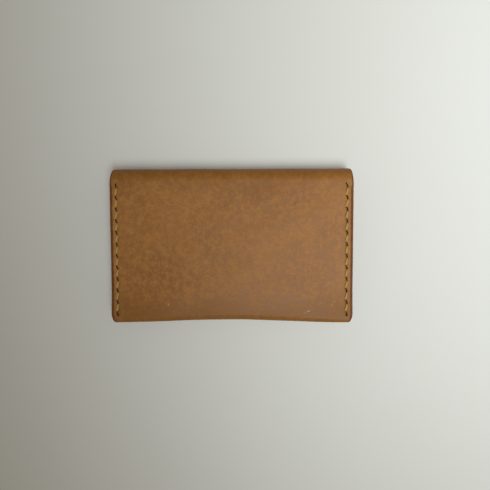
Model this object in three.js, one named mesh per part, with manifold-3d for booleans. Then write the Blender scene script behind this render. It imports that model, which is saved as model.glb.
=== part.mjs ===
// A leather card case with a flap, closed by a press snap.
//
// One strip of vegetable-tanned leather makes the case: the front panel, the bottom fold, the back
// panel, the top fold and the flap. The two panels are saddle-stitched together along their short
// sides and form the pocket. The flap turns about the top fold and closes over the front panel.
//
// Frame, in millimetres: X runs across the case, +Y points to the top fold, and +Z points out of the
// back panel. The case lies on its front, and the flat face of the snap cap is at z = 0.

import * as THREE from 'three';
import { mergeVertices } from 'three/addons/utils/BufferGeometryUtils.js';
import Module from 'manifold-3d';

const wasm = await Module();
wasm.setup();

// ---- Driving dimensions -------------------------------------------------------------------------

const caseWidth = 105;
const caseHeight = 67;
const leather = 1.6; // thickness of the hide
const pocketDepth = 4.6; // inside the pocket, at the middle
const snapGap = 1.9; // between the closed flap and the front panel, filled by the snap
const seamGap = 0.3; // daylight between the two panels where they are sewn

const bottomPullIn = 1.3; // how far the bottom fold's middle lies inside its ends
const sideFoldRadius = 1.25; // the bottom fold's mid-surface radius at its two ends
const mouthY = 27.2; // free edge of the front panel
const flapTipY = -14;
const flapCornerRadius = 12;
const flapCurl = 2.4; // how far the flap's tip corners rise
const panelJoint = 0.3; // gap where the fold node meets the panel and the flap

const stitchInset = 3; // seam line to the cut side edge
const stitchPitch = 5;
const stitchHoles = 12;
const firstHoleY = 25.7;
const holeLength = 2.2;
const holeWidth = 1.6;
const holeSlant = THREE.MathUtils.degToRad(18);
const threadRadius = 0.35;
const strandRadius = 0.45; // the two strands side by side in a hole
const threadLift = 0.05; // between a stitch and the face it lies on

const snapY = 1;
const capRadius = 6;
const capHeight = 1;
const shankRadius = 1.8;
const rivetHoleRadius = 2.1;

// ---- Heights and places worked out from them ----------------------------------------------------

const flapOuterZ = capHeight;
const flapInnerZ = flapOuterZ + leather;
const frontOuterZ = flapInnerZ + snapGap;
const frontInnerZ = frontOuterZ + leather;
const backInnerZ = frontInnerZ + pocketDepth;
const backOuterZ = backInnerZ + leather;
const pocketMiddleZ = (frontInnerZ + backInnerZ) / 2;

const topFoldRadius = (backOuterZ - flapOuterZ - leather) / 2; // of the mid-surface
const topFoldZ = (backOuterZ + flapOuterZ) / 2;
const topFoldY = caseHeight / 2 - topFoldRadius - leather / 2;

const pocketHalfWidth = caseWidth / 2 - stitchInset - 1; // the panels part inside the seam
const seamTopZ = backInnerZ - seamGap / 2;
const seamBottomY = -caseHeight / 2 + 6;

// ---- The shape of the pocket --------------------------------------------------------------------

// How full the pocket is across the width: 1 at the middle, 0 at the seams.
function fullness(x) {
  const across = Math.min(Math.abs(x) / pocketHalfWidth, 1);
  return (1 - across ** 2.4) ** 1.3;
}

// Height of the plane where the two panels meet at the seams. It rises from the middle of the
// pocket at the bottom to the back panel at the top, where the top fold holds the back straight.
function seamZ(y) {
  const rise = THREE.MathUtils.smoothstep(y, seamBottomY, topFoldY);
  return THREE.MathUtils.lerp(pocketMiddleZ, seamTopZ, rise);
}

// The bottom fold: its mid-surface radius, and the y of its centre line.
function bottomFoldRadius(x) {
  return THREE.MathUtils.lerp(sideFoldRadius, (pocketDepth + leather) / 2, fullness(x));
}

function bottomFoldY(x) {
  const pullIn = bottomPullIn * Math.cos((Math.PI * x) / caseWidth) ** 2;
  return -caseHeight / 2 + pullIn + bottomFoldRadius(x) + leather / 2;
}

// Mid-surface heights of the two panels. Near the bottom both open out into the fold.
function panelZ(x, y, side) {
  const crestZ = side > 0 ? backInnerZ : frontInnerZ;
  const sewnZ = seamZ(y) + (side * seamGap) / 2;
  const openZ = THREE.MathUtils.lerp(sewnZ, crestZ, fullness(x)) + (side * leather) / 2;
  const foldZ = pocketMiddleZ + side * bottomFoldRadius(x);
  const foldY = bottomFoldY(x);
  return THREE.MathUtils.lerp(foldZ, openZ, THREE.MathUtils.smoothstep(y, foldY, foldY + 6));
}

// The strip's mid-surface. `run` goes 0 to 1 down the back panel, 1 to 2 round the bottom fold and
// 2 to 3 up the front panel.
function stripPoint(run, x) {
  const foldY = bottomFoldY(x);
  if (run <= 1) {
    const y = THREE.MathUtils.lerp(topFoldY - panelJoint, foldY, run);
    return new THREE.Vector3(x, y, panelZ(x, y, 1));
  }
  if (run >= 2) {
    const y = THREE.MathUtils.lerp(foldY, mouthY, run - 2);
    return new THREE.Vector3(x, y, panelZ(x, y, -1));
  }
  const turn = Math.PI * (run - 1);
  const radius = bottomFoldRadius(x);
  return new THREE.Vector3(x, foldY - radius * Math.sin(turn), pocketMiddleZ + radius * Math.cos(turn));
}

// Unit normal of the mid-surface, pointing to the grain side, which is the outside.
function stripNormal(run, x) {
  const step = 0.001;
  const along = stripPoint(run + step, x).sub(stripPoint(run - step, x));
  const across = stripPoint(run, x + step).sub(stripPoint(run, x - step));
  return along.cross(across).normalize();
}

// ---- Solids -------------------------------------------------------------------------------------

function toSolid(geometry) {
  const bare = geometry.clone();
  bare.deleteAttribute('normal');
  bare.deleteAttribute('uv');
  const merged = mergeVertices(bare, 1e-4);
  const vertProperties = new Float32Array(merged.attributes.position.array);
  const triVerts = new Uint32Array(merged.index.array);
  return new wasm.Manifold(new wasm.Mesh({ numProp: 3, vertProperties, triVerts }));
}

function toGeometry(solid) {
  const mesh = solid.getMesh();
  const geometry = new THREE.BufferGeometry();
  geometry.setAttribute('position', new THREE.BufferAttribute(mesh.vertProperties, 3));
  geometry.setIndex(new THREE.BufferAttribute(mesh.triVerts, 1));
  geometry.computeVertexNormals();
  return geometry;
}

// A solid of revolution about the snap's axis; `profile` holds [radius, z] pairs from the axis out
// and back to the axis.
function turned(profile) {
  const points = profile.map(([radius, z]) => new THREE.Vector2(radius, z));
  const geometry = new THREE.LatheGeometry(points, 28);
  geometry.rotateX(Math.PI / 2);
  geometry.translate(0, snapY, 0);
  return geometry;
}

function rivetHole(radius, lowZ, highZ) {
  return toSolid(turned([[0, lowZ], [radius, lowZ], [radius, highZ], [0, highZ]]));
}

// A straight bar with six sides between two points.
function bar(from, to, radius) {
  const section = new THREE.Shape();
  for (let corner = 0; corner < 6; corner += 1) {
    const angle = (corner * Math.PI) / 3;
    const point = [radius * Math.cos(angle), radius * Math.sin(angle)];
    if (corner === 0) section.moveTo(...point);
    else section.lineTo(...point);
  }
  section.closePath();
  const options = { extrudePath: new THREE.LineCurve3(from, to), steps: 1, bevelEnabled: false };
  return toSolid(new THREE.ExtrudeGeometry(section, options));
}

// ---- Leather ------------------------------------------------------------------------------------

function holeY(index) {
  return firstHoleY - index * stitchPitch;
}

// The bent strip of front panel, bottom fold and back panel.
function strip() {
  const runSteps = 30;
  const widthSteps = 24;
  const geometry = new THREE.BoxGeometry(3, caseWidth, leather, runSteps, widthSteps, 1);
  const position = geometry.attributes.position;
  for (let index = 0; index < position.count; index += 1) {
    const run = position.getX(index) + 1.5;
    const x = position.getY(index);
    const depth = position.getZ(index);
    const point = stripPoint(run, x).addScaledVector(stripNormal(run, x), depth);
    position.setXYZ(index, point.x, point.y, point.z);
  }
  return toSolid(geometry);
}

// One awl slit through both panels.
function slit(x, y) {
  const height = backOuterZ - frontOuterZ + 2;
  const geometry = new THREE.BoxGeometry(holeWidth, holeLength, height);
  geometry.rotateZ(holeSlant);
  geometry.translate(x, y, frontOuterZ + height / 2 - 1);
  return toSolid(geometry);
}

// The strip with its slits, and with the hole and the flush recess of the snap's post.
function bodyLeather() {
  let solid = strip();
  for (const side of [-1, 1]) {
    for (let index = 0; index < stitchHoles; index += 1) {
      solid = solid.subtract(slit(side * (caseWidth / 2 - stitchInset), holeY(index)));
    }
  }
  const recessDepth = 0.75;
  const recessRadius = 4.4;
  solid = solid.subtract(rivetHole(rivetHoleRadius, frontOuterZ - 1, frontInnerZ + 1));
  solid = solid.subtract(rivetHole(recessRadius, frontInnerZ - recessDepth, frontInnerZ + 1));
  return toGeometry(solid);
}

// The half-round bend between the back panel and the flap. Its section is drawn in the Y-Z plane and
// extruded along X.
function flapFold() {
  const section = new THREE.Shape();
  const outer = topFoldRadius + leather / 2;
  const inner = topFoldRadius - leather / 2;
  section.absarc(topFoldY, topFoldZ, outer, -Math.PI / 2, Math.PI / 2, false);
  section.absarc(topFoldY, topFoldZ, inner, Math.PI / 2, -Math.PI / 2, true);
  section.closePath();
  const options = { depth: caseWidth, bevelEnabled: false, curveSegments: 16 };
  const geometry = new THREE.ExtrudeGeometry(section, options);
  const xAxis = new THREE.Vector3(1, 0, 0);
  const yAxis = new THREE.Vector3(0, 1, 0);
  const zAxis = new THREE.Vector3(0, 0, 1);
  geometry.applyMatrix4(new THREE.Matrix4().makeBasis(yAxis, zAxis, xAxis));
  geometry.translate(-caseWidth / 2, 0, 0);
  return geometry;
}

// The flap's outline from above: square at the fold and rounded at the tip.
function flapOutline() {
  const outline = new THREE.Shape();
  const half = caseWidth / 2;
  const radius = flapCornerRadius;
  const hingeEdge = topFoldY - panelJoint;
  outline.moveTo(half, hingeEdge);
  outline.lineTo(-half, hingeEdge);
  outline.absarc(-half + radius, flapTipY + radius, radius, Math.PI, 1.5 * Math.PI, false);
  outline.absarc(half - radius, flapTipY + radius, radius, 1.5 * Math.PI, 2 * Math.PI, false);
  outline.closePath();
  return outline;
}

// The flap: a sheet that is flat at the fold and at the snap, and curls up round the pocket at the
// two corners of its tip. The sheet is made a little too large and cut to its outline.
function flap() {
  const margin = 1;
  const width = caseWidth + 2 * margin;
  const length = topFoldY - flapTipY + 2 * margin;
  const geometry = new THREE.BoxGeometry(width, length, leather, 20, 8, 1);
  geometry.translate(0, (topFoldY + flapTipY) / 2, flapOuterZ + leather / 2);
  const position = geometry.attributes.position;
  for (let index = 0; index < position.count; index += 1) {
    const towardsTip = 1 - THREE.MathUtils.smoothstep(position.getY(index), flapTipY, topFoldY);
    const curl = flapCurl * towardsTip * (1 - fullness(position.getX(index)));
    position.setZ(index, position.getZ(index) + curl);
  }
  const cutter = new THREE.ExtrudeGeometry(flapOutline(), {
    depth: backOuterZ,
    bevelEnabled: false,
    curveSegments: 10,
  });
  const sheet = toSolid(geometry).intersect(toSolid(cutter));
  return toGeometry(sheet.subtract(rivetHole(rivetHoleRadius, 0, frontOuterZ)));
}

// ---- Stitching ----------------------------------------------------------------------------------

// One saddle-stitched thread: a pair of strands down every slit, and a stitch between each two
// neighbouring slits on both faces.
function stitching(side) {
  const x = side * (caseWidth / 2 - stitchInset);
  const reach = leather / 2 + threadLift + threadRadius;
  const faces = [1, -1];
  const knot = (index, face) => {
    const y = holeY(index);
    return new THREE.Vector3(x, y, panelZ(x, y, face) + face * reach);
  };
  const pieces = [];
  for (let index = 0; index < stitchHoles; index += 1) {
    pieces.push(bar(knot(index, -1), knot(index, 1), strandRadius));
  }
  for (const face of faces) {
    for (let index = 1; index < stitchHoles; index += 1) {
      pieces.push(bar(knot(index - 1, face), knot(index, face), threadRadius));
    }
  }
  return toGeometry(pieces.reduce((joined, piece) => joined.add(piece)));
}

// ---- Snap ---------------------------------------------------------------------------------------

// The cap on the outside of the flap. Its shank goes through the leather and is rolled over
// inside the socket.
function snapCap() {
  const rollZ = flapInnerZ + 0.55;
  return turned([
    [0, 0],
    [capRadius - 0.7, 0],
    [capRadius - 0.2, 0.25],
    [capRadius, 0.6],
    [capRadius - 0.15, capHeight - 0.05],
    [shankRadius, capHeight - 0.05],
    [shankRadius, rollZ],
    [2.6, rollZ],
    [2.6, rollZ + 0.2],
    [0, rollZ + 0.2],
  ]);
}

// The socket on the inside of the flap: a ring with a thin web round the cap's shank.
function snapSocket() {
  const baseZ = flapInnerZ + 0.05;
  const rimZ = flapInnerZ + 1.3;
  return turned([
    [rivetHoleRadius, baseZ],
    [5.4, baseZ],
    [5.4, baseZ + 0.5],
    [4.8, rimZ],
    [3.3, rimZ],
    [3.3, baseZ + 0.35],
    [rivetHoleRadius, baseZ + 0.35],
    [rivetHoleRadius, baseZ],
  ]);
}

// The stud on the outside of the front panel: a hollow button that enters the socket.
function snapStud() {
  const baseZ = frontOuterZ - 0.05;
  const plateZ = baseZ - 0.35;
  const headZ = flapInnerZ + 0.9;
  return turned([
    [0, headZ],
    [2.6, headZ],
    [2.95, headZ + 0.25],
    [2.8, plateZ],
    [5, plateZ],
    [5, baseZ],
    [rivetHoleRadius, baseZ],
    [rivetHoleRadius, headZ + 0.3],
    [0, headZ + 0.3],
  ]);
}

// The post behind the stud: its flange lies flush in the inner face of the front panel, and its
// shank goes through the leather into the stud.
function snapPost() {
  const flangeTop = frontInnerZ - 0.05;
  return turned([
    [0, frontOuterZ - 0.5],
    [shankRadius, frontOuterZ - 0.5],
    [shankRadius, flangeTop - 0.6],
    [4, flangeTop - 0.6],
    [4, flangeTop - 0.15],
    [3.6, flangeTop],
    [0, flangeTop],
  ]);
}

// ---- The case -----------------------------------------------------------------------------------

const tannedLeather = { color: 0xa67442, roughness: 0.62, metalness: 0 };
const waxedThread = { color: 0xb8965a, roughness: 0.7, metalness: 0 };
const brass = { color: 0xb99654, roughness: 0.32, metalness: 1 };

function addPart(group, name, geometry, finish) {
  const mesh = new THREE.Mesh(geometry, new THREE.MeshStandardMaterial(finish));
  mesh.name = name;
  group.add(mesh);
}

const cardCase = new THREE.Group();
addPart(cardCase, 'body_leather', bodyLeather(), tannedLeather);
addPart(cardCase, 'flap_fold', flapFold(), tannedLeather);
addPart(cardCase, 'flap', flap(), tannedLeather);
addPart(cardCase, 'stitching_left', stitching(-1), waxedThread);
addPart(cardCase, 'stitching_right', stitching(1), waxedThread);
addPart(cardCase, 'snap_cap', snapCap(), brass);
addPart(cardCase, 'snap_socket', snapSocket(), brass);
addPart(cardCase, 'snap_stud', snapStud(), brass);
addPart(cardCase, 'snap_post', snapPost(), brass);

export default cardCase;
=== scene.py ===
"""A leather card case that lies on its flap side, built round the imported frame.

One strip of leather makes the case. It is drawn flat, as (x, s), where x runs across the strip and s
runs along it: s is 0 at the top of the back panel, grows down the back, round the bottom fold and up
the front panel, and is negative round the top fold and along the flap. The flat strip is then bent
and given its thickness. Shapes are in millimetres here and in metres in Blender.
"""

import math

import bmesh
import bpy
import numpy as np
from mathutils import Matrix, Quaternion, Vector


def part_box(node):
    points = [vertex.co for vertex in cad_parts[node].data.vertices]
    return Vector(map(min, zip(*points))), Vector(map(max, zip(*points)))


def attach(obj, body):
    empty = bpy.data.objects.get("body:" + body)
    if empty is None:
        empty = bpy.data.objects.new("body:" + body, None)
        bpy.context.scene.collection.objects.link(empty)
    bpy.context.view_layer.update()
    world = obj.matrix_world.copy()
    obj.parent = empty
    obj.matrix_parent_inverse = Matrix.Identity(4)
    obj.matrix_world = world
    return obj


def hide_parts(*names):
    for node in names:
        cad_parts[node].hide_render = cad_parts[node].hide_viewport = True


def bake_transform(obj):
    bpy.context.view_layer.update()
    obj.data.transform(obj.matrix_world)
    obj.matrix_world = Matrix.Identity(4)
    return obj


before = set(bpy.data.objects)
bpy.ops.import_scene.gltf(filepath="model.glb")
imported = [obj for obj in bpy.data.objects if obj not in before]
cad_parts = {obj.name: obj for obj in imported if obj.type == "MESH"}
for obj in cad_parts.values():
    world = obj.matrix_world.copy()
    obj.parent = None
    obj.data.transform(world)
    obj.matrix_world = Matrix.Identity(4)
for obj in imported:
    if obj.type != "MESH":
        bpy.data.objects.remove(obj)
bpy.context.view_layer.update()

MM = 0.001


def box_mm(node):
    """Lowest and highest corner of a CAD node, in millimetres."""
    return [np.array(corner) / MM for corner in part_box(node)]


# ---- Sizes and places, from the frame -----------------------------------------------------------

fold_low, fold_high = box_mm("flap_fold")
pocket_low, _ = box_mm("body_leather")
flap_low, _ = box_mm("flap")
thread_low, thread_high = box_mm("stitching_right")
cap_low, cap_high = box_mm("snap_cap")
socket_low, socket_high = box_mm("snap_socket")
stud_low, stud_high = box_mm("snap_stud")
post_low, post_high = box_mm("snap_post")

LEATHER = 1.6
SEAM_GAP = 0.06  # the two panels nearly touch where they are sewn

HALF_WIDTH = fold_high[0]
HALF_HEIGHT = -pocket_low[1]
TOP_FOLD_Y = fold_low[1]
TOP_FOLD_Z = (fold_low[2] + fold_high[2]) / 2
TOP_FOLD_RADIUS = (fold_high[2] - fold_low[2] - LEATHER) / 2
FLAP_Z = fold_low[2] + LEATHER / 2
FLAP_TIP_Y = flap_low[1]
FRONT_INNER_Z = pocket_low[2] + LEATHER
BACK_OUTER_Z = fold_high[2]
BACK_INNER_Z = BACK_OUTER_Z - LEATHER
POCKET_Z = (FRONT_INNER_Z + BACK_INNER_Z) / 2
POCKET_DEPTH = BACK_INNER_Z - FRONT_INNER_Z

MOUTH_Y = 27.2
MOUTH_CORNER = 1.9
FLAP_CORNER = 12
FLAP_CURL = 2.4
BOTTOM_PULL_IN = 1.3
SIDE_FOLD_RADIUS = 1.25
TOP_FOLD_NARROWING = 0.6  # at each end, where the leather is stretched round the fold
TOP_NARROWING_REACH = 12  # along the strip, to each side of the fold's crest
BOTTOM_CORNER_WEAR = 0.65
BOTTOM_WEAR_REACH = 4
BOTTOM_THINNING = 0.6  # how much lower the back panel lies at the bottom fold
BOTTOM_FOLD_REACH = 12  # how far up the panels the bottom fold shapes them

SEAM_X = (thread_low[0] + thread_high[0]) / 2
SEAM_MIDDLE_Y = (thread_low[1] + thread_high[1]) / 2
STITCH_PITCH = 5
STITCH_HOLES = 12
SEAM_HALF_LENGTH = STITCH_PITCH * (STITCH_HOLES - 1) / 2
HOLE_YS = SEAM_MIDDLE_Y + np.linspace(SEAM_HALF_LENGTH, -SEAM_HALF_LENGTH, STITCH_HOLES)
SLIT_SLANT = math.radians(18)
POCKET_HALF_WIDTH = SEAM_X - 1  # the panels part inside the seam

SNAP_Y = (cap_low[1] + cap_high[1]) / 2
RIVET_HOLE = 2.1


def lerp(a, b, t):
    return a + (b - a) * t


def smoothstep(value, low, high):
    t = np.clip((value - low) / (high - low), 0, 1)
    return t * t * (3 - 2 * t)


# ---- The bent strip -----------------------------------------------------------------------------

def fullness(x):
    """How far the pocket bulges across its width: 1 in the middle, 0 at the seams."""
    across = np.minimum(np.abs(x) / POCKET_HALF_WIDTH, 1)
    return (1 - across**2.4) ** 1.3


def seam_z(y):
    """Height of the plane where the two panels are sewn together."""
    rise = smoothstep(y, -HALF_HEIGHT + 6, TOP_FOLD_Y)
    return lerp(POCKET_Z, BACK_INNER_Z - SEAM_GAP / 2, rise)


def bottom_radius(x):
    """Radius of the bottom fold's centre line: tight at the seams and full in the middle."""
    return lerp(SIDE_FOLD_RADIUS, (POCKET_DEPTH + LEATHER) / 2 - BOTTOM_THINNING, fullness(x))


def bottom_y(x):
    """Where the bottom fold's centre line lies. The fold is pulled in between its two ends."""
    pull_in = BOTTOM_PULL_IN * np.cos(np.pi * x / (2 * HALF_WIDTH)) ** 2
    return -HALF_HEIGHT + pull_in + bottom_radius(x) + LEATHER / 2


def panel_z(x, y, side):
    """Height of the middle of the leather: side is 1 for the back panel and -1 for the front."""
    crest = BACK_INNER_Z if side > 0 else FRONT_INNER_Z
    sewn = seam_z(y) + side * SEAM_GAP / 2
    open_z = lerp(sewn, crest, fullness(x)) + side * LEATHER / 2
    fold_z = POCKET_Z + side * bottom_radius(x)
    fold_y = bottom_y(x)
    return lerp(fold_z, open_z, smoothstep(y, fold_y, fold_y + BOTTOM_FOLD_REACH))


def draw_in(x, y, s):
    """Moves points inwards where the cut edges are drawn in: at the top fold and the bottom corners."""
    from_crest = np.abs(s - FLAP_START / 2)
    narrowing = TOP_FOLD_NARROWING * (1 - smoothstep(from_crest, 0, TOP_NARROWING_REACH))
    wear = BOTTOM_CORNER_WEAR * smoothstep(-y, HALF_HEIGHT - BOTTOM_WEAR_REACH, HALF_HEIGHT)
    return x * (1 - (narrowing + wear) / HALF_WIDTH)


def strip_end(x):
    """The s of the front panel's free edge, where the pocket opens."""
    fold_y = bottom_y(x)
    return TOP_FOLD_Y - fold_y + np.pi * bottom_radius(x) + MOUTH_Y - fold_y


def back_s(y):
    """The s of the place y on the back panel."""
    return TOP_FOLD_Y - y


def front_s(x, y):
    """The s of the place (x, y) on the front panel."""
    return strip_end(x) - (MOUTH_Y - y)


def bend_pocket(x, s):
    """Back panel, bottom fold and front panel."""
    fold_y, radius = bottom_y(x), bottom_radius(x)
    fold_start = back_s(fold_y)
    fold_end = front_s(x, fold_y)
    turn = np.clip((s - fold_start) / radius, 0, np.pi)
    back_y = TOP_FOLD_Y - s
    front_y = fold_y + s - fold_end
    y = np.where(s < fold_start, back_y, fold_y - radius * np.sin(turn))
    z = np.where(s < fold_start, panel_z(x, back_y, 1), POCKET_Z + radius * np.cos(turn))
    y = np.where(s > fold_end, front_y, y)
    z = np.where(s > fold_end, panel_z(x, front_y, -1), z)
    return np.stack([draw_in(x, y, s), y, z], axis=-1)


def bend_fold(x, s):
    """The half-round top fold."""
    turn = -s / TOP_FOLD_RADIUS
    y = TOP_FOLD_Y + TOP_FOLD_RADIUS * np.sin(turn)
    z = TOP_FOLD_Z + TOP_FOLD_RADIUS * np.cos(turn)
    return np.stack([draw_in(x, y, s), y, z], axis=-1)


FLAP_START = -np.pi * TOP_FOLD_RADIUS
FLAP_END = FLAP_START - (TOP_FOLD_Y - FLAP_TIP_Y)


def flap_s(y):
    """The s of the place y on the flap."""
    return FLAP_START - (TOP_FOLD_Y - y)


def bend_flap(x, s):
    """The flap, whose tip corners curl up round the pocket."""
    y = TOP_FOLD_Y + s - FLAP_START
    curl = FLAP_CURL * (1 - smoothstep(y, FLAP_TIP_Y, TOP_FOLD_Y)) * (1 - fullness(x))
    return np.stack([draw_in(x, y, s), y, FLAP_Z + curl], axis=-1)


def strip_normal(bend, x, s):
    """Unit normals on the grain side, which is the outside."""
    step = 0.001
    along = bend(x, s + step) - bend(x, s - step)
    across = bend(x + step, s) - bend(x - step, s)
    normal = np.cross(along, across)
    return normal / np.linalg.norm(normal, axis=-1, keepdims=True)


# Slow waves in the hide: length, direction and phase of each.
HIDE_WAVES = ((21, 0.5, 0.9), (34, 2.1, 0.4), (13, 1.2, 1.7), (27, -0.6, 2.4))
HIDE_WAVE_HEIGHT = 0.025


def relief(x, s):
    """How high the waves in the hide lift the leather."""
    total = 0
    for length, direction, phase in HIDE_WAVES:
        along = x * np.cos(direction) + s * np.sin(direction)
        total = total + np.sin(2 * np.pi * along / length + phase)
    return HIDE_WAVE_HEIGHT * total


# ---- The two faces of the leather ---------------------------------------------------------------

def quarter_round(distance, radius):
    """0 at an edge, and up to 1 at `radius` from it along a quarter of a circle."""
    return np.sqrt(1 - (1 - np.clip(distance / radius, 0, 1)) ** 2)


def single_faces(x, s, y, edge):
    """Heights of the grain and flesh faces over the middle of one layer with a rounded cut edge, and
    the width of the rounding. It takes the same values as pocket_faces."""
    half = LEATHER / 2 * quarter_round(edge, LEATHER / 2)
    return half, -half, np.full_like(x, LEATHER / 2)


PRESS_HALF_WIDTH = 0.8
PRESS_END = 1.3  # how far the pressed line runs past the first and last hole
PRESS_AT_HOLE = 0.08
PRESS_BETWEEN_HOLES = 0.16


def seam_press(x, y):
    """How deep the thread presses the leather in along a seam, deepest between two holes."""
    across = np.exp(-(((np.abs(x) - SEAM_X) / PRESS_HALF_WIDTH) ** 2))
    between = 0.5 - 0.5 * np.cos(2 * np.pi * (y - HOLE_YS[0]) / STITCH_PITCH)
    starts = 1 - smoothstep(y, HOLE_YS[0], HOLE_YS[0] + PRESS_END)
    ends = smoothstep(y, HOLE_YS[-1] - PRESS_END, HOLE_YS[-1])
    return across * starts * ends * lerp(PRESS_AT_HOLE, PRESS_BETWEEN_HOLES, between)


POST_DENT_DEPTH = 0.7  # the snap post's flange is sunk into the inside of the front panel
POST_DENT_FLOOR = 4.1  # radius of the dent's level floor
POST_DENT_RIM = 5.2  # radius at which the dent ends
SINGLE_TO = 0.2  # below the mouth: down to here the cut edges are rounded one by one
SEWN_FROM = 3.2  # below the mouth: from here down they are rounded over as one


def pocket_faces(x, s, y, edge):
    """As single_faces, but where the panels are sewn their cut edges are rounded over as one."""
    sewn = 1 - smoothstep(y, MOUTH_Y - SEWN_FROM, MOUTH_Y - SINGLE_TO)
    grain, flesh, radius = single_faces(x, s, y, edge)
    double = LEATHER * quarter_round(HALF_WIDTH - np.abs(x), LEATHER) - LEATHER / 2
    grain = lerp(grain, double, sewn) - seam_press(x, y)
    flesh = lerp(flesh, -LEATHER / 2, sewn)
    on_front = s > front_s(x, MOUTH_Y) / 2
    dent = 1 - smoothstep(np.hypot(x, y - SNAP_Y), POST_DENT_FLOOR, POST_DENT_RIM)
    flesh = flesh + POST_DENT_DEPTH * np.where(on_front, dent, 0)
    return grain, flesh, lerp(radius, LEATHER, sewn)


# ---- Holes --------------------------------------------------------------------------------------

class Slit:
    """A slanted awl slit in the strip."""

    half_length = 1.3
    half_width = 0.42
    reach_across = 0.95

    def __init__(self, x, s, lean):
        self.centre = np.array((x, s))
        self.long_axis = np.array((math.sin(lean), math.cos(lean)))
        self.short_axis = np.array((math.cos(lean), -math.sin(lean)))
        self.reach = np.array((self.reach_across, self.half_length + 0.1))

    def outline(self, angle):
        """A point of the slit's outline, a pointed oval. Angle 0 lies on its short axis."""
        width = self.half_width * math.cos(angle) * abs(math.cos(angle)) ** 0.35
        length = self.half_length * math.sin(angle)
        return self.centre + self.short_axis * width + self.long_axis * length


class RearSlit(Slit):
    """The same slit in the front panel: the awl leaves a smaller one where it comes out."""

    half_length = 1.0
    half_width = 0.33


class RivetHole:
    """A round hole for the shank of one half of the snap."""

    reach = np.array((RIVET_HOLE, RIVET_HOLE)) + 0.5

    def __init__(self, x, s):
        self.centre = np.array((x, s))

    def outline(self, angle):
        return self.centre + RIVET_HOLE * np.array((math.cos(angle), math.sin(angle)))


def pocket_holes():
    """The post's hole in the front panel, and the slits of both seams in both panels."""
    holes = [RivetHole(0, front_s(0, SNAP_Y))]
    for x in (-SEAM_X, SEAM_X):
        holes += [Slit(x, back_s(y), SLIT_SLANT) for y in HOLE_YS]
        holes += [RearSlit(x, front_s(x, y), -SLIT_SLANT) for y in HOLE_YS]
    return holes


# ---- Grid lines of the flat strip ---------------------------------------------------------------

def rounding(radius, steps=8):
    """Distances from a cut edge at which a quarter-round is sampled evenly."""
    return radius * (1 - np.cos(np.linspace(0, np.pi / 2, steps + 1)))


def grid_lines(*groups, closest=0.03):
    """All values in rising order, without those that nearly meet the one before."""
    kept = []
    for value in np.sort(np.concatenate(groups)):
        if not kept or value - kept[-1] > closest:
            kept.append(value)
    return np.array(kept)


def strip_columns():
    """The lines along the strip, dense at its cut edges and at the seams."""
    inset = HALF_WIDTH - SEAM_X
    seam = inset + np.linspace(-1.05, 1.05, 5)
    open_part = np.linspace(seam[-1] + 0.5, HALF_WIDTH, 37)
    from_edge = grid_lines(rounding(LEATHER), seam, open_part)
    return np.concatenate([from_edge - HALF_WIDTH, HALF_WIDTH - from_edge[-2::-1]])


BACK_ROWS_REACH = 1.6  # a little more than half the length of a slit
FRONT_ROWS_REACH = 1.3


def seam_rows(reach):
    """Distances from the first hole's centre to the lines across a row of holes and its gaps."""
    at_holes = [STITCH_PITCH * index + np.linspace(-reach, reach, 6) for index in range(STITCH_HOLES)]
    gaps = [STITCH_PITCH * (index + 0.5) + np.array([-0.3, 0.3]) for index in range(STITCH_HOLES - 1)]
    return np.concatenate(at_holes + gaps)


STRAIGHT_S = back_s(HOLE_YS[-1]) + 1.7  # above the bottom fold, the rows are straight
STRAIGHT_FROM_MOUTH = MOUTH_Y - HOLE_YS[-1] + 1.4


def pocket_rows():
    """The lines across the pocket, as they lie at the seams."""
    end = strip_end(SEAM_X)
    back = back_s(HOLE_YS[0]) + seam_rows(BACK_ROWS_REACH)
    front = end - (MOUTH_Y - HOLE_YS[0]) - seam_rows(FRONT_ROWS_REACH)
    fold = np.linspace(STRAIGHT_S, end - STRAIGHT_FROM_MOUTH, 20)
    mouth = end - rounding(LEATHER / 2, 6)
    return grid_lines([0, 0.4], back, fold, front, mouth)


def fit_to_fold(x, s):
    """Moves rows so that all of the change in the strip's length from x to x is at the bottom fold."""
    drawn_end = strip_end(SEAM_X)
    fold_end = drawn_end - STRAIGHT_FROM_MOUTH
    share = np.clip((s - STRAIGHT_S) / (fold_end - STRAIGHT_S), 0, 1)
    return s + (strip_end(x) - drawn_end) * share


def fold_rows():
    """Dense at both ends, so that the fold runs smoothly into its neighbours."""
    return FLAP_START * (0.5 + 0.5 * np.cos(np.linspace(0, np.pi, 49)))


def flap_rows():
    """Dense at the flap's cut end."""
    tip = FLAP_END + grid_lines(rounding(LEATHER / 2), [1.2, 1.7, 2.3])
    return grid_lines(tip, np.linspace(FLAP_END + 3, FLAP_START, 41))


# ---- A sheet of leather -------------------------------------------------------------------------

HOLE_RINGS = (0.4, 0.7, 0.88, 1.0)  # shares of the way from the grid to a hole's outline
HOLE_LIP = 0.1  # how far both faces are pressed in at a hole
WALL_RINGS = (0.25, 0.5, 0.75, 1)  # shares of the way from the grain face to the flesh face
WALL_PINCH = 0.3  # how much narrower a hole is in the middle of the leather, as a share
FAR_FROM_EDGE = 9  # an edge_share at which no burnishing shows
FULL_HOLE_SHADE = 1.5  # a value of cut at which the surface takes all of the painted shade of a hole


def hole_border(columns, rows, hole):
    """The block of cells that encloses a hole, as ranges of rows and columns."""
    low, high = hole.centre - hole.reach, hole.centre + hole.reach
    left, right = np.searchsorted(columns, low[0]) - 1, np.searchsorted(columns, high[0])
    first, last = np.searchsorted(rows, low[1]) - 1, np.searchsorted(rows, high[1])
    return left, right, first, last


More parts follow.
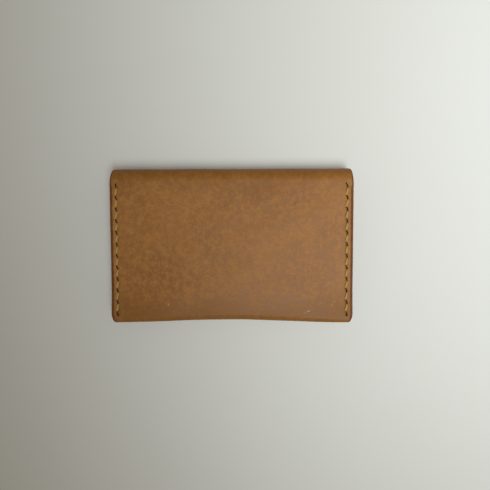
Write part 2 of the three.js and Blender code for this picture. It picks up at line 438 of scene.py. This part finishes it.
def pattern(columns, rows, holes):
    """A grid of quads with rings of quads round each hole.

    Returns the flat points, how near each is to a hole (1 on its outline), the faces, the loop of
    points round each hole, and the points of the first and last rows.
    """
    width = len(columns)
    points = [np.array((x, s)) for s in rows for x in columns]
    nearness = [0.0] * len(points)
    cells = {(j, i) for j in range(len(rows) - 1) for i in range(width - 1)}
    faces, loops = [], []
    for hole in holes:
        left, right, first, last = hole_border(columns, rows, hole)
        cells -= {(j, i) for j in range(first, last) for i in range(left, right)}
        ring = [first * width + i for i in range(left, right)]
        ring += [j * width + right for j in range(first, last)]
        ring += [last * width + i for i in range(right, left, -1)]
        ring += [j * width + left for j in range(last, first, -1)]
        border = [points[index] for index in ring]
        middle = np.array((columns[left] + columns[right], rows[first] + rows[last])) / 2
        half = np.array((columns[right] - columns[left], rows[last] - rows[first])) / 2
        targets = []
        for point in border:
            across, along = (point - middle) / half
            targets.append(hole.outline(math.atan2(along, across)))
        for share in HOLE_RINGS:
            inner = list(range(len(points), len(points) + len(ring)))
            points += [lerp(point, target, share) for point, target in zip(border, targets)]
            nearness += [share**3] * len(ring)
            faces += zip(ring, ring[1:] + ring[:1], inner[1:] + inner[:1], inner)
            ring = inner
        loops.append(ring)
    for j, i in sorted(cells):
        corner = j * width + i
        faces.append((corner, corner + 1, corner + width + 1, corner + width))

    used = sorted({index for face in faces for index in face})
    number = {old: new for new, old in enumerate(used)}
    faces = [[number[index] for index in face] for face in faces]
    loops = [[number[index] for index in loop] for loop in loops]
    last_row = (len(rows) - 1) * width
    ends = [[number[start + i] for i in range(width)] for start in (0, last_row)]
    return np.array(points)[used], np.array(nearness)[used], faces, loops, ends


def round_corners(x, from_end, radius):
    """Bends the square corners of the strip's cut end into round ones.

    Returns the new x, the new distance to the end, and the distance to the nearest cut edge.
    """
    out = np.clip((np.abs(x) - (HALF_WIDTH - radius)) / radius, 0, 1)
    down = np.clip((radius - from_end) / radius, 0, 1)
    round_out = out * np.sqrt(1 - down**2 / 2)
    round_down = down * np.sqrt(1 - out**2 / 2)
    in_corner = (out > 0) & (down > 0)
    edge = np.minimum(HALF_WIDTH - np.abs(x), from_end)
    edge = np.where(in_corner, radius * (1 - np.hypot(round_out, round_down)), edge)
    new_x = np.where(in_corner, np.sign(x) * (HALF_WIDTH - radius * (1 - round_out)), x)
    new_from_end = np.where(in_corner, radius * (1 - round_down), from_end)
    return new_x, new_from_end, np.maximum(edge, 0)


class SheetMesh:
    """A mesh whose points know their place on the flat strip, for the leather's material."""

    def __init__(self):
        self.mesh = bmesh.new()
        layers = self.mesh.verts.layers
        self.strip_place = layers.float_vector.new("strip_place")
        self.edge_share = layers.float.new("edge_share")
        self.on_flesh = layers.float.new("on_flesh")
        self.cut = layers.float.new("cut")

    def point(self, place, strip_place, edge_share, on_flesh, cut):
        vertex = self.mesh.verts.new(place * MM)
        vertex[self.strip_place] = strip_place
        vertex[self.edge_share] = edge_share
        vertex[self.on_flesh] = on_flesh
        vertex[self.cut] = cut
        return vertex

    def wall(self, grain_loop, flesh_loop):
        """The cut wall of a hole from face to face, pinched in the middle of the leather."""
        grain_places = np.array([vertex.co for vertex in grain_loop]) / MM
        flesh_places = np.array([vertex.co for vertex in flesh_loop]) / MM
        ring = grain_loop
        for share in WALL_RINGS:
            places = lerp(grain_places, flesh_places, share)
            axis = places.mean(axis=0)
            places = axis + (places - axis) * (1 - WALL_PINCH * math.sin(math.pi * share))
            if share == 1:
                inner = flesh_loop
            else:
                inner = []
                for place, vertex in zip(places, grain_loop):
                    at = vertex[self.strip_place]
                    inner.append(self.point(place, at, FAR_FROM_EDGE, share, FULL_HOLE_SHADE))
            for k in range(len(ring)):
                self.mesh.faces.new((ring[k - 1], ring[k], inner[k], inner[k - 1]))
            ring = inner

    def cap(self, grain_row, flesh_row):
        """The flat face where this piece of the strip meets the next one."""
        for k in range(len(grain_row) - 1):
            corners = grain_row[k], grain_row[k + 1], flesh_row[k + 1], flesh_row[k]
            face = self.mesh.faces.new(list(dict.fromkeys(corners)))
            face.tag = True

    def finish(self, name):
        bmesh.ops.recalc_face_normals(self.mesh, faces=self.mesh.faces)
        for face in self.mesh.faces:
            face.smooth = not face.tag
        return to_object(name, self.mesh)


def leather_sheet(name, bend, faces_at, columns, rows, cut_end=None, corner=1, holes=(), joined=()):
    """One piece of the strip as a closed mesh.

    `bend` bends the strip and `faces_at` gives the heights of its two faces. `cut_end` is the s of its
    cut end at each x, with corners of radius `corner`. `joined` lists which end rows, 0 or 1, meet the
    next piece of the strip.
    """
    flat, nearness, faces, loops, ends = pattern(columns, rows, holes)
    x, s = flat.T
    if cut_end is None:
        edge = HALF_WIDTH - np.abs(x)
    else:
        inward = np.sign(np.mean(rows) - np.mean(cut_end(columns)))
        s = fit_to_fold(x, s) if bend is bend_pocket else s
        x, from_end, edge = round_corners(x, inward * (s - cut_end(x)), corner)
        s = cut_end(x) + inward * from_end
    middle = bend(x, s)
    normal = strip_normal(bend, x, s)
    grain, flesh, rounded = faces_at(x, s, middle[:, 1], edge)
    heights = grain - HOLE_LIP * nearness, flesh + HOLE_LIP * nearness

    sheet = SheetMesh()
    sides = []
    for on_flesh, height in enumerate(heights):
        places = middle + normal * (height + relief(x, s))[:, None]
        strip_places = np.stack([x, s, height], axis=-1)
        side = []
        for index in range(len(x)):
            if on_flesh and edge[index] < 1e-6:
                side.append(sides[0][index])
                continue
            place, strip_place = places[index], strip_places[index]
            edge_share = edge[index] / rounded[index]
            side.append(sheet.point(place, strip_place, edge_share, on_flesh, nearness[index]))
        sides.append(side)
    for face in faces:
        for side in sides:
            sheet.mesh.faces.new([side[index] for index in face])
    for loop in loops:
        sheet.wall(*([side[index] for index in loop] for side in sides))
    for end in joined:
        sheet.cap(*([side[index] for index in ends[end]] for side in sides))
    return sheet.finish(name)


def to_object(name, mesh):
    """An object in the scene made of the mesh, which is used up."""
    data = bpy.data.meshes.new(name)
    mesh.to_mesh(data)
    mesh.free()
    piece = bpy.data.objects.new(name, data)
    bpy.context.scene.collection.objects.link(piece)
    return piece


# ---- Thread -------------------------------------------------------------------------------------

THREAD_WIDTH = 0.98
THREAD_END_SHARE = 0.66  # the thread's width where it dives into a hole, as a share
THREAD_FLATNESS = 0.82
THREAD_POINTS = 18
THREAD_PLIES = 3
PLY_PITCH = 3.2
PLY_VALLEY = 0.8
BACK_DIVE = 1.08  # how far short of a hole's centre a stitch on the back panel dives in
FRONT_DIVE = 0.72
TURN_PER_STITCH = 1.3  # so that no two stitches show the same twist
CORE_DEPTH = 1.2  # how far below the grain face the thread in a hole is seen
CORE_HALF_LENGTH = 0.95
CORE_HALF_WIDTH = 0.3
CORE_POINTS = 14
CORE_RINGS = 6


def grain_face(x, y, side):
    """A point on the grain face of a sewn panel, and the normal there."""
    x, y = np.array([x]), np.array([y])
    s = back_s(y) if side > 0 else front_s(x, y)
    normal = strip_normal(bend_pocket, x, s)
    grain, _, _ = pocket_faces(x, s, y, HALF_WIDTH - np.abs(x))
    place = bend_pocket(x, s) + normal * (grain + relief(x, s))[:, None]
    return place[0], normal[0]


def stitch_path(start, end, normal, steps):
    """From inside one slit, over the leather and down into the next: half of a rounded box shape."""
    depth, lift, squareness = 1.35, 0.2, 2 / 3.4
    along = (end - start) / 2
    middle = (start + end) / 2
    path = []
    for angle in np.linspace(np.pi, 0, steps):
        c, h = np.cos(angle), np.sin(angle)
        forward = np.sign(c) * abs(c) ** squareness
        height = (depth + lift) * abs(h) ** squareness - depth
        path.append(middle + along * forward + normal * height)
    return np.array(path)


def even_steps(path, spacing):
    """The same path with its points evenly spaced."""
    lengths = np.linalg.norm(np.diff(path, axis=0), axis=1)
    run = np.concatenate([[0], np.cumsum(lengths)])
    wanted = np.linspace(0, run[-1], int(run[-1] / spacing) + 1)
    return np.stack([np.interp(wanted, run, path[:, k]) for k in range(3)], axis=-1), wanted


def add_stitch(mesh, layers, start, end, normal, turn):
    """One stitch of twisted thread as a closed tube, fattest in the middle."""
    path, run = even_steps(stitch_path(start, end, normal, steps=60), spacing=0.16)
    forward = np.gradient(path, axis=0)
    forward /= np.linalg.norm(forward, axis=1, keepdims=True)
    side = np.cross(end - start, normal)
    side /= np.linalg.norm(side)
    up = np.cross(side, forward)
    middle = 1 - np.abs(np.linspace(-1, 1, len(path))) ** 2
    radius = THREAD_WIDTH / 2 * lerp(THREAD_END_SHARE, 1, middle)
    angles = np.linspace(0, 2 * np.pi, THREAD_POINTS, endpoint=False)
    rings = []
    for k in range(len(path)):
        twist = turn + 2 * np.pi * run[k] / PLY_PITCH
        ply = np.abs(np.cos(THREAD_PLIES * (angles - twist) / 2))
        reach = radius[k] * lerp(PLY_VALLEY, 1, ply**0.7)
        ring = []
        for angle, distance, height in zip(angles, reach, ply):
            offset = side * np.cos(angle) + up[k] * np.sin(angle) * THREAD_FLATNESS
            vertex = mesh.verts.new((path[k] + offset * distance) * MM)
            vertex[layers["thread_place"]] = (run[k], angle, turn)
            vertex[layers["ply"]] = height
            ring.append(vertex)
        rings.append(ring)
    close_tube(mesh, rings)


def add_core(mesh, layers, upper, lower):
    """The thread that fills one hole, from below one grain face to below the other."""
    slit = np.array((math.sin(SLIT_SLANT), -math.cos(SLIT_SLANT), 0))
    across = np.array((math.cos(SLIT_SLANT), math.sin(SLIT_SLANT), 0))
    rings = []
    for share in np.linspace(0, 1, CORE_RINGS):
        middle = lerp(upper, lower, share)
        ring = []
        for angle in np.linspace(0, 2 * np.pi, CORE_POINTS, endpoint=False):
            place = middle + slit * CORE_HALF_LENGTH * np.sin(angle)
            place = place + across * CORE_HALF_WIDTH * np.cos(angle)
            vertex = mesh.verts.new(place * MM)
            vertex[layers["thread_place"]] = (share, angle, upper[1])
            ring.append(vertex)
        rings.append(ring)
    close_tube(mesh, rings)


def close_tube(mesh, rings):
    """Joins the rings of points to each other, and closes the first and the last."""
    for ring, following in zip(rings, rings[1:]):
        for k in range(len(ring)):
            mesh.faces.new((ring[k - 1], ring[k], following[k], following[k - 1]))
    mesh.faces.new(rings[0])
    mesh.faces.new(rings[-1])


def stitching(name, x):
    """All the stitches of one seam, on the back and on the front panel, and the thread in its holes."""
    mesh = bmesh.new()
    layers = {
        "thread_place": mesh.verts.layers.float_vector.new("thread_place"),
        "ply": mesh.verts.layers.float.new("ply"),
    }
    for side, dive in ((1, BACK_DIVE), (-1, FRONT_DIVE)):
        lean = np.array((-math.sin(SLIT_SLANT), math.cos(SLIT_SLANT))) * dive
        for index, (upper_y, lower_y) in enumerate(zip(HOLE_YS, HOLE_YS[1:])):
            start, normal = grain_face(x - lean[0], upper_y - lean[1], side)
            end, _ = grain_face(x + lean[0], lower_y + lean[1], side)
            add_stitch(mesh, layers, start, end, normal, turn=TURN_PER_STITCH * index + side)
    for y in HOLE_YS:
        ends = [grain_face(x, y, side) for side in (1, -1)]
        upper, lower = (point - normal * CORE_DEPTH for point, normal in ends)
        add_core(mesh, layers, upper, lower)
    bmesh.ops.recalc_face_normals(mesh, faces=mesh.faces)
    for face in mesh.faces:
        face.smooth = True
    return to_object(name, mesh)


# ---- Snap ---------------------------------------------------------------------------------------

def fillet(profile, radius, steps=4):
    """The profile with its corners rounded, apart from its two ends."""
    points = [np.array(point, float) for point in profile]
    rounded = [points[0]]
    for before, corner, after in zip(points, points[1:], points[2:]):
        length_before = np.linalg.norm(before - corner)
        length_after = np.linalg.norm(after - corner)
        reach = min(radius, length_before * 0.45, length_after * 0.45)
        start = corner + (before - corner) / length_before * reach
        end = corner + (after - corner) / length_after * reach
        for t in np.linspace(0, 1, steps):
            rounded.append(lerp(lerp(start, corner, t), lerp(corner, end, t), t))
    return rounded + [points[-1]]


def turned(name, profile, radius=0.12, segments=72):
    """A solid of revolution about the snap's axis; the profile is a closed list of (radius, z)."""
    mesh = bmesh.new()
    rings = []
    for distance, z in fillet(profile, radius):
        if distance < 1e-6:
            rings.append([mesh.verts.new(Vector((0, SNAP_Y, z)) * MM)] * segments)
            continue
        ring = []
        for angle in np.linspace(0, 2 * np.pi, segments, endpoint=False):
            place = Vector((distance * math.cos(angle), SNAP_Y + distance * math.sin(angle), z))
            ring.append(mesh.verts.new(place * MM))
        rings.append(ring)
    for ring, following in zip(rings, rings[1:]):
        for k in range(segments):
            corners = ring[k - 1], ring[k], following[k], following[k - 1]
            corners = list(dict.fromkeys(corners))
            if len(corners) > 2:
                mesh.faces.new(corners)
    bmesh.ops.remove_doubles(mesh, verts=mesh.verts, dist=1e-7)
    bmesh.ops.recalc_face_normals(mesh, faces=mesh.faces)
    for face in mesh.faces:
        face.smooth = True
    return to_object(name, mesh)


def snap_cap():
    """A shallow dished cap with a rolled rim; its shank is peened over inside the socket."""
    radius, top = cap_high[0], cap_high[2]
    head = FLAP_Z - LEATHER / 2 - 0.04
    return turned("snap_cap_detailed", [
        (0, 0.16), (radius - 2.4, 0.16), (radius - 2.1, 0.05), (radius - 1.7, 0), (radius - 0.9, 0),
        (radius - 0.25, 0.25), (radius, 0.62), (radius - 0.12, head), (1.8, head), (1.8, top - 0.25),
        (2.6, top - 0.25), (2.6, top - 0.05), (2.1, top), (0.9, top), (0.6, top - 0.4), (0, top - 0.4),
    ])


def snap_socket():
    """A ring with a groove for its spring, round the cap's shank."""
    radius, base, rim = socket_high[0], socket_low[2], socket_high[2]
    return turned("snap_socket_detailed", [
        (2.1, base), (radius, base), (radius, base + 0.45), (radius - 0.35, base + 0.7),
        (radius - 0.5, rim - 0.1), (radius - 0.8, rim), (3.5, rim), (3.3, rim - 0.15), (3.5, rim - 0.45),
        (3.5, rim - 0.65), (3.3, rim - 0.8), (3.3, base + 0.3), (2.1, base + 0.3), (2.1, base),
    ], radius=0.08)


def snap_stud():
    """A hollow button with a waist, on a thin round plate."""
    radius, head, base = stud_high[0], stud_low[2], stud_high[2]
    plate = base - 0.32
    return turned("snap_stud_detailed", [
        (0, head), (2.5, head), (2.95, head + 0.25), (2.8, plate), (3.2, plate - 0.03),
        (radius - 0.3, plate), (radius, plate + 0.16), (radius, base), (2.1, base), (2.1, head + 0.25),
        (0, head + 0.25),
    ], radius=0.1)


def snap_post():
    """A flat flange sunk into the leather, with a shank that goes into the stud."""
    radius, end, top = post_high[0], post_low[2], post_high[2]
    return turned("snap_post_detailed", [
        (0, end), (1.8, end), (1.8, top - 0.6), (radius, top - 0.6), (radius, top - 0.15),
        (radius - 0.4, top), (1.2, top), (1.0, top - 0.1), (0, top - 0.1),
    ])


# ---- Materials ----------------------------------------------------------------------------------

class Graph:
    """The nodes of one material."""

    def __init__(self, name):
        self.material = bpy.data.materials.new(name)
        self.material.use_nodes = True
        self.tree = self.material.node_tree
        self.shader = self.tree.nodes["Principled BSDF"]

    def add(self, kind, inputs, **settings):
        """A node with its settings and inputs. An input may be a number, a colour or another socket."""
        node = self.tree.nodes.new(kind)
        for name, value in settings.items():
            setattr(node, name, value)
        self.set(node, inputs)
        return node

    def set(self, node, inputs):
        for name, value in inputs.items():
            if isinstance(value, bpy.types.NodeSocket):
                self.tree.links.new(value, node.inputs[name])
            else:
                node.inputs[name].default_value = value

    def attribute(self, name, output="Fac"):
        return self.add("ShaderNodeAttribute", {}, attribute_name=name).outputs[output]

    def object_place(self):
        """The place on the piece itself, in millimetres."""
        place = self.add("ShaderNodeTexCoord", {}).outputs["Object"]
        scaled = self.add("ShaderNodeVectorMath", {0: place, "Scale": 1 / MM}, operation="SCALE")
        return scaled.outputs[0]

    def stretch(self, vector, scale):
        return self.add("ShaderNodeVectorMath", {0: vector, 1: scale}, operation="MULTIPLY").outputs[0]

    def noise(self, vector, scale, detail=4, roughness=0.55):
        inputs = {"Vector": vector, "Scale": scale, "Detail": detail, "Roughness": roughness}
        return self.add("ShaderNodeTexNoise", inputs).outputs[0]

    def cells(self, vector, scale):
        inputs = {"Vector": vector, "Scale": scale}
        return self.add("ShaderNodeTexVoronoi", inputs, feature="F1").outputs["Distance"]

    def stroke(self, vector, centre, length, width, lean):
        """1 in the middle of a short stroke, and 0 outside it. The lean is in degrees."""
        inputs = {"Vector": vector, "Location": (*centre, 0), "Rotation": (0, 0, math.radians(lean))}
        local = self.add("ShaderNodeMapping", inputs, vector_type="TEXTURE").outputs[0]
        scaled = self.stretch(local, (2 / length, 2 / width, 0))
        away = self.add("ShaderNodeVectorMath", {0: scaled}, operation="LENGTH").outputs["Value"]
        return self.between(away, 0.3, 1, 1, 0)

    def between(self, value, low, high, to_low=0.0, to_high=1.0):
        """to_low where value is low or less, to_high where it is high or more, smooth between."""
        inputs = {"Value": value, "From Min": low, "From Max": high, "To Min": to_low, "To Max": to_high}
        return self.add("ShaderNodeMapRange", inputs, interpolation_type="SMOOTHSTEP").outputs[0]

    def from_noise(self, noise, to_low=0.0, to_high=1.0):
        """As between, over the range in which most of a noise's values lie."""
        return self.between(noise, 0.3, 0.7, to_low, to_high)

    def math(self, operation, a, b=0.0):
        return self.add("ShaderNodeMath", {0: a, 1: b}, operation=operation).outputs[0]

    def mix(self, share, a, b):
        """A blend of two colours. The node has sockets of one name for each kind of value, so its
        colour sockets are found by their numbers."""
        return self.add("ShaderNodeMix", {0: share, 6: a, 7: b}, data_type="RGBA").outputs[2]

    def bump(self, height, depth_mm, normal=None):
        inputs = {"Height": height, "Distance": depth_mm * MM, "Strength": 1.0}
        if normal is not None:
            inputs["Normal"] = normal
        return self.add("ShaderNodeBump", inputs).outputs[0]


def colour(red, green, blue):
    return (red, green, blue, 1.0)


# Marks on the back panel: x, y, length, width, and lean in degrees on the strip.
CREASE = (27, 18, 5.2, 0.8, -40)
SCUFFS = (
    (33, -28.3, 2.8, 0.7, -22), (31.6, -29.1, 1.6, 0.5, -10), (38.3, -24.8, 1.3, 0.6, -40),
    (44.4, -24.3, 1.3, 0.6, -20), (43.3, -25.6, 1.1, 0.5, -30), (-27.1, -25.3, 3.0, 0.45, 88),
)


def marked(graph, place, surface, mark, strength, mark_colour):
    """The surface with one mark on it, whose outline is broken up by the grain."""
    x, y, length, width, lean = mark
    broken = graph.between(graph.noise(place, 1.4, detail=3), 0.3, 0.6, 0.2 * strength, strength)
    stroke = graph.stroke(place, (x, back_s(y)), length, width, lean)
    return graph.mix(graph.math("MULTIPLY", stroke, broken), surface, mark_colour)


def fold_shade_and_patina(graph, place, clouds):
    """How much darker the grain is near the folds: partly patina where the leather bends, and partly
    painted shade where it curves away from the light.
    """
    s = graph.add("ShaderNodeSeparateXYZ", {0: place}).outputs["Y"]
    uneven = graph.math("ADD", s, graph.from_noise(clouds, -4, 4))
    bottom = graph.between(uneven, STRAIGHT_S - 16, STRAIGHT_S + 1, 0, 0.6)
    top = graph.between(uneven, -2, 9, 0.28, 0)
    return graph.math("ADD", bottom, top)


def grain_colour(graph, place, mottle, pores):
    """The grain side: tan with light mottling, dark specks and pores, the marks of use, and patina with
    painted shade near the folds.
    """
    clouds = graph.noise(place, 0.035, detail=3)
    speckle = graph.noise(place, 2.6, detail=4, roughness=0.65)
    tan = colour(0.280, 0.106, 0.016)
    light_tan = colour(0.357, 0.140, 0.022)
    grain = graph.mix(graph.from_noise(clouds), tan, light_tan)
    grain = graph.mix(graph.between(mottle, 0.38, 0.66, 0, 0.75), grain, colour(0.49, 0.20, 0.042))
    grain = graph.mix(graph.between(speckle, 0.32, 0.56, 0.7, 0), grain, colour(0.18, 0.074, 0.011))
    grain = graph.mix(graph.between(pores, 0.02, 0.22, 0.6, 0), grain, colour(0.14, 0.052, 0.007))
    # Painted shade with patina: the grain darkens towards the top and bottom folds.
    grain = graph.mix(fold_shade_and_patina(graph, place, clouds), grain, colour(0.20, 0.071, 0.002))
    grain = marked(graph, place, grain, CREASE, 0.7, colour(0.13, 0.045, 0.008))
    for scuff in SCUFFS:
        grain = marked(graph, place, grain, scuff, 0.65, colour(0.62, 0.36, 0.16))
    return grain


def leather_material():
    """Smooth on the grain side, fibrous on the flesh side, and burnished at its cut edges."""
    graph = Graph("tanned_leather")
    place = graph.attribute("strip_place", "Vector")
    edge = graph.attribute("edge_share")
    flesh = graph.attribute("on_flesh")
    cut = graph.attribute("cut")
    mottle = graph.noise(place, 0.45, detail=7, roughness=0.72)
    pores = graph.cells(graph.stretch(place, (1.0, 1.25, 1.0)), 1.9)
    wrinkles = graph.noise(graph.stretch(place, (1.0, 0.45, 1.0)), 0.9, detail=5, roughness=0.6)
    fibres = graph.noise(place, 1.8, detail=8, roughness=0.75)

    suede = graph.mix(graph.from_noise(fibres), colour(0.30, 0.17, 0.08), colour(0.50, 0.32, 0.17))
    uneven_edge = graph.math("ADD", edge, graph.from_noise(mottle, -0.1, 0.1))
    burnished = graph.between(uneven_edge, 0.82, 1.08, 1, 0)
    dark_edge = colour(0.16, 0.041, 0.003)
    light_edge = colour(0.23, 0.065, 0.005)
    surface = graph.mix(flesh, grain_colour(graph, place, mottle, pores), suede)
    surface = graph.mix(burnished, surface, graph.mix(graph.from_noise(mottle), dark_edge, light_edge))
    # Painted shade in the holes: their walls, and the rims of their outlines, are painted dark brown.
    surface = graph.mix(graph.between(cut, 0.7, 1.2), surface, colour(0.10, 0.03, 0.008))

    roughness = graph.from_noise(mottle, 0.5, 0.6)
    roughness = graph.math("ADD", roughness, graph.math("MULTIPLY", flesh, 0.35))
    roughness = graph.math("SUBTRACT", roughness, graph.math("MULTIPLY", burnished, 0.1))

    normal = graph.bump(wrinkles, 0.05)
    normal = graph.bump(graph.between(pores, 0.0, 0.3), 0.012, normal)
    normal = graph.bump(graph.math("MULTIPLY", fibres, flesh), 0.12, normal)
    graph.shader.inputs["Specular IOR Level"].default_value = 0.42
    graph.set(graph.shader, {"Base Color": surface, "Roughness": roughness, "Normal": normal})
    return graph.material


def thread_material():
    """Waxed straw-coloured linen, with painted shade in the valleys between its plies and on the thread
    inside the holes.
    """
    graph = Graph("waxed_thread")
    place = graph.attribute("thread_place", "Vector")
    ply = graph.attribute("ply")
    fibres = graph.noise(graph.stretch(place, (0.8, 3.0, 1.0)), 2.0, detail=5, roughness=0.7)
    dark_straw = colour(0.44, 0.265, 0.05)
    light_straw = colour(0.62, 0.40, 0.10)
    straw = graph.mix(graph.from_noise(fibres), dark_straw, light_straw)
    # Painted shade: dark where ply is low, that is in the valleys between plies and on the thread in the
    # holes, which has no ply value.
    straw = graph.mix(graph.between(ply, 0.1, 0.6, 0.65, 0), straw, colour(0.17, 0.085, 0.024))
    normal = graph.bump(fibres, 0.05)
    graph.shader.inputs["Roughness"].default_value = 0.55
    graph.set(graph.shader, {"Base Color": straw, "Normal": normal})
    return graph.material


def brass_material():
    """Satin brass, slightly tarnished, with fine scratches along one direction."""
    graph = Graph("satin_brass")
    place = graph.object_place()
    tarnish = graph.noise(place, 0.35, detail=5)
    scratches = graph.noise(graph.stretch(place, (0.3, 6.0, 1.0)), 1.5, detail=3)
    clean = colour(0.62, 0.44, 0.19)
    tarnished = colour(0.50, 0.33, 0.13)
    metal = graph.mix(graph.between(tarnish, 0.35, 0.7), clean, tarnished)
    roughness = graph.from_noise(tarnish, 0.24, 0.38)
    normal = graph.bump(scratches, 0.004)
    graph.shader.inputs["Metallic"].default_value = 1.0
    graph.set(graph.shader, {"Base Color": metal, "Roughness": roughness, "Normal": normal})
    return graph.material


def floor_material():
    graph = Graph("pale_floor")
    cloud = graph.noise(graph.object_place(), 0.01, detail=2)
    paper = graph.mix(cloud, colour(0.74, 0.735, 0.70), colour(0.77, 0.765, 0.735))
    graph.shader.inputs["Roughness"].default_value = 0.6
    graph.set(graph.shader, {"Base Color": paper})
    return graph.material


# ---- The case -----------------------------------------------------------------------------------

def finish_piece(piece, material, nodes, body=None):
    """Gives a piece its material, hides the frame's parts that it replaces, and, if it has one, hangs it
    on the body it rides on.
    """
    piece.data.materials.append(material)
    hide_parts(*nodes)
    if body:
        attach(piece, body)
    return piece


def make_leather():
    material = leather_material()
    columns = strip_columns()
    pocket = leather_sheet(
        "pocket_leather", bend_pocket, pocket_faces, columns, pocket_rows(),
        cut_end=strip_end, corner=MOUTH_CORNER, holes=pocket_holes(), joined=[0],
    )
    finish_piece(pocket, material, ["body_leather"], "body")
    fold = leather_sheet("fold_leather", bend_fold, single_faces, columns, fold_rows(), joined=[0, 1])
    finish_piece(fold, material, ["flap_fold"])
    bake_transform(fold)
    flap = leather_sheet(
        "flap_leather", bend_flap, single_faces, columns, flap_rows(),
        cut_end=lambda x: np.full_like(x, FLAP_END), corner=FLAP_CORNER,
        holes=[RivetHole(0, flap_s(SNAP_Y))], joined=[1],
    )
    finish_piece(flap, material, ["flap"], "flap")


def make_thread():
    material = thread_material()
    for name, x in (("left", -SEAM_X), ("right", SEAM_X)):
        finish_piece(stitching("thread_" + name, x), material, ["stitching_" + name], "body")


def make_snap():
    material = brass_material()
    finish_piece(snap_cap(), material, ["snap_cap"], "flap")
    finish_piece(snap_socket(), material, ["snap_socket"], "flap")
    finish_piece(snap_stud(), material, ["snap_stud"], "body")
    finish_piece(snap_post(), material, ["snap_post"], "body")


# ---- Studio -------------------------------------------------------------------------------------

def make_floor():
    bpy.ops.mesh.primitive_plane_add(size=6)
    floor = bpy.context.object
    floor.name = "floor"
    floor.data.materials.append(floor_material())


def aim(thing, target):
    thing.rotation_mode = "QUATERNION"
    thing.rotation_quaternion = (target - thing.location).to_track_quat("-Z", "Y")


def add_area_light(name, location, target, size, power, tint, spread):
    data = bpy.data.lights.new(name, "AREA")
    data.shape = "SQUARE"
    data.size = size
    data.energy = power
    data.color = tint
    data.spread = math.radians(spread)
    light = bpy.data.objects.new(name, data)
    light.location = location
    aim(light, Vector(target))
    bpy.context.scene.collection.objects.link(light)


def make_lights():
    """One soft lamp high on the right, in a dim warm room. It shines down beside the case, so the left
    is darker."""
    add_area_light(
        "lamp", location=(0.26, -0.10, 0.60), target=(0.24, 0.12, 0),
        size=0.5, power=1.02, tint=(0.93, 0.99, 1.0), spread=58,
    )
    world = bpy.data.worlds.new("room")
    world.use_nodes = True
    background = world.node_tree.nodes["Background"]
    background.inputs["Color"].default_value = colour(1.0, 0.88, 0.68)
    background.inputs["Strength"].default_value = 0.2
    bpy.context.scene.world = world
    bpy.context.scene.view_settings.view_transform = "Standard"


def make_camera():
    """Straight above the case, and leaning a little to its top fold and to its right side."""
    distance = 0.2097
    lean_right = math.radians(0.85)
    lean_top = math.radians(0.8)
    target = Vector((0.0059, 0.0003, BACK_OUTER_Z * MM))
    lean = Vector((math.tan(lean_right), math.tan(lean_top), 1)).normalized()
    data = bpy.data.cameras.new("camera")
    data.angle = math.radians(53.1)
    data.clip_start = 0.01
    data.clip_end = 20
    camera = bpy.data.objects.new("camera", data)
    camera.location = target + distance * lean
    turn = Quaternion((0, 0, 1), math.radians(-0.1))
    camera.rotation_mode = "QUATERNION"
    camera.rotation_quaternion = Vector((0, 0, 1)).rotation_difference(lean) @ turn
    bpy.context.scene.collection.objects.link(camera)
    bpy.context.scene.camera = camera


make_camera()
make_lights()
make_floor()
make_leather()
make_thread()
make_snap()
